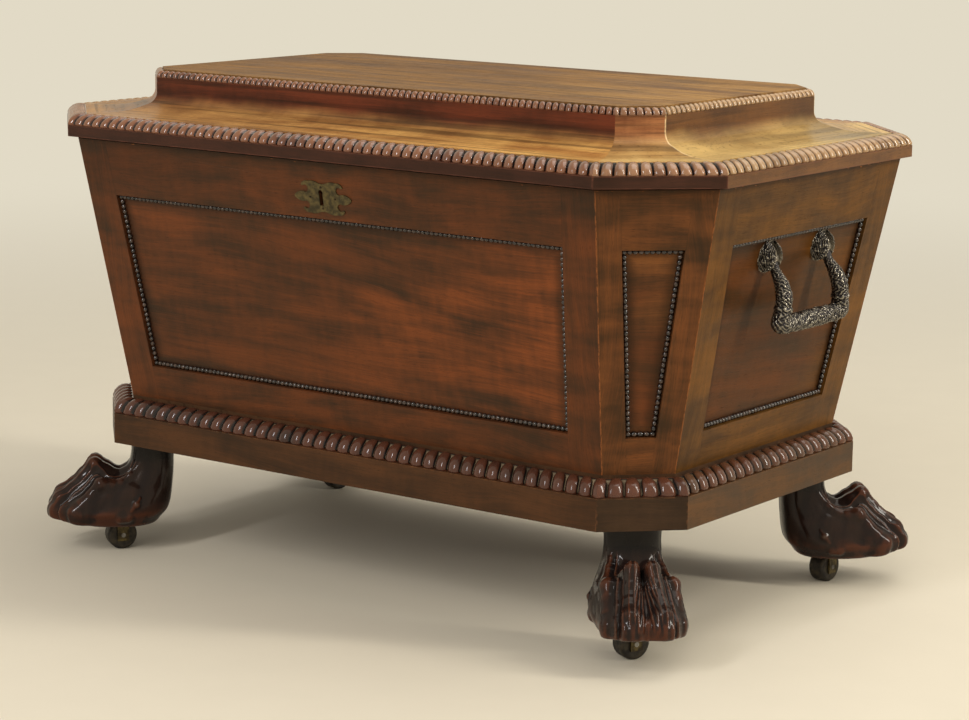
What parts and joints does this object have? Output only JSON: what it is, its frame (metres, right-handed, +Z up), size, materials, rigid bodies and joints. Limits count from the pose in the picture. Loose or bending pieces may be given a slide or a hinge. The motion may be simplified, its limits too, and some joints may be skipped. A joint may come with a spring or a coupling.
{
  "type": "cellarette",
  "caption": "Eight-sided tapering mahogany wine chest with a hinged stepped lid, sunk beaded panels, gadrooned edges, drop handles, lock, and paw feet on castors.",
  "frame": {"origin": "on the floor under the middle of the chest", "axes": "+X along the length, -Y is the front with the lock, +Z up"},
  "size_m": [0.8606, 0.552, 0.538],
  "materials": {
    "mahogany_frame": "French polished mahogany, dark, grain along each rail",
    "mahogany_panel": "French polished figured mahogany veneer",
    "ebonised_beading": "dark stained beading, polished",
    "plinth_mahogany": "French polished mahogany",
    "bottom_wood": "unpolished oak boards",
    "gadroon_wood": "carved mahogany, dark polish",
    "paw_wood": "carved mahogany, very dark gloss polish, worn on the high points",
    "lid_mahogany": "French polished mahogany",
    "lead_liner": "dull beaten lead sheet",
    "division_wood": "plain oak, waxed",
    "hinge_brass": "old brass",
    "screw_brass": "old brass",
    "steel_pin": "plain steel",
    "lock_iron": "dark iron",
    "escutcheon_brass": "dull olive brass",
    "bronze": "dark patinated bronze",
    "nut_iron": "plain iron",
    "castor_brass": "dull brass",
    "castor_roller_brass": "dull brass, dirty tread"
  },
  "bodies": {
    "chest": {"front_frame": "mahogany_frame", "back_frame": "mahogany_frame", "left_frame": "mahogany_frame", "right_frame": "mahogany_frame", "corner_frames": "mahogany_frame", "front_panel": "mahogany_panel", "back_panel": "mahogany_panel", "left_panel": "mahogany_panel", "right_panel": "mahogany_panel", "corner_panels": "mahogany_panel", "front_beading": "ebonised_beading", "back_beading": "ebonised_beading", "end_beading": "ebonised_beading", "corner_beading": "ebonised_beading", "plinth_front_rail": "plinth_mahogany", "plinth_back_rail": "plinth_mahogany", "plinth_left_rail": "plinth_mahogany", "plinth_right_rail": "plinth_mahogany", "bottom_board": "bottom_wood", "plinth_gadroon": "gadroon_wood", "foot_front_left": "paw_wood", "foot_front_right": "paw_wood", "foot_back_left": "paw_wood", "foot_back_right": "paw_wood", "liner": "lead_liner", "long_divisions": "division_wood", "cross_divisions": "division_wood", "hinge_body_leaves": "hinge_brass", "hinge_body_screws": "screw_brass", "escutcheon_pins": "screw_brass", "hinge_pins": "steel_pin", "handle_pins": "steel_pin", "lock_case": "lock_iron", "escutcheon": "escutcheon_brass", "handle_roses": "bronze", "handle_nuts": "nut_iron", "castor_sockets": "castor_brass"},
    "lid": {"lid_frame": "lid_mahogany", "lid_gadroon": "gadroon_wood", "lid_cove": "lid_mahogany", "lid_top_board": "lid_mahogany", "crown_gadroon": "gadroon_wood", "hinge_lid_leaves": "hinge_brass", "hinge_lid_screws": "screw_brass", "lock_staple": "lock_iron"},
    "bolt": {"lock_bolt": "lock_iron"},
    "left_handle": {"left_bail": "bronze"},
    "right_handle": {"right_bail": "bronze"},
    "fork_front_left": {"castor_fork_front_left": "castor_brass", "castor_axle_front_left": "steel_pin"},
    "roller_front_left": {"castor_roller_front_left": "castor_roller_brass"},
    "fork_front_right": {"castor_fork_front_right": "castor_brass", "castor_axle_front_right": "steel_pin"},
    "roller_front_right": {"castor_roller_front_right": "castor_roller_brass"},
    "fork_back_left": {"castor_fork_back_left": "castor_brass", "castor_axle_back_left": "steel_pin"},
    "roller_back_left": {"castor_roller_back_left": "castor_roller_brass"},
    "fork_back_right": {"castor_fork_back_right": "castor_brass", "castor_axle_back_right": "steel_pin"},
    "roller_back_right": {"castor_roller_back_right": "castor_roller_brass"}
  },
  "joints": [
    {"name": "lid_hinge", "type": "hinge", "parent": "chest", "child": "lid", "pos_m": [0, 0.2684, 0.4676], "axis": [-1, 0, 0], "range_deg": [0, 95]},
    {"name": "bolt_throw", "type": "slide", "parent": "chest", "child": "bolt", "axis": [1, 0, 0], "range_m": [0, 0.008]},
    {"name": "left_handle_swing", "type": "hinge", "parent": "chest", "child": "left_handle", "pos_m": [-0.40449, 0, 0.387], "axis": [0, 1, 0], "range_deg": [0, 90]},
    {"name": "right_handle_swing", "type": "hinge", "parent": "chest", "child": "right_handle", "pos_m": [0.40449, 0, 0.387], "axis": [0, -1, 0], "range_deg": [0, 90]},
    {"name": "swivel_front_left", "type": "hinge", "parent": "chest", "child": "fork_front_left", "pos_m": [-0.34365, -0.18735, 0.033], "axis": [0, 0, 1], "continuous": true},
    {"name": "roll_front_left", "type": "hinge", "parent": "fork_front_left", "child": "roller_front_left", "pos_m": [-0.3463, -0.19159, 0.0165], "axis": [0.848, -0.5299, 0], "continuous": true},
    {"name": "swivel_front_right", "type": "hinge", "parent": "chest", "child": "fork_front_right", "pos_m": [0.34135, -0.18965, 0.033], "axis": [0, 0, 1], "continuous": true},
    {"name": "roll_front_right", "type": "hinge", "parent": "fork_front_right", "child": "roller_front_right", "pos_m": [0.33916, -0.19414, 0.0165], "axis": [0.8988, -0.4384, 0], "continuous": true},
    {"name": "swivel_back_left", "type": "hinge", "parent": "chest", "child": "fork_back_left", "pos_m": [-0.34135, 0.18965, 0.033], "axis": [0, 0, 1], "continuous": true},
    {"name": "roll_back_left", "type": "hinge", "parent": "fork_back_left", "child": "roller_back_left", "pos_m": [-0.3429, 0.18489, 0.0165], "axis": [0.9511, -0.309, 0], "continuous": true},
    {"name": "swivel_back_right", "type": "hinge", "parent": "chest", "child": "fork_back_right", "pos_m": [0.34365, 0.18735, 0.033], "axis": [0, 0, 1], "continuous": true},
    {"name": "roll_back_right", "type": "hinge", "parent": "fork_back_right", "child": "roller_back_right", "pos_m": [0.34313, 0.18238, 0.0165], "axis": [0.9945, -0.1045, 0], "continuous": true}
  ]
}
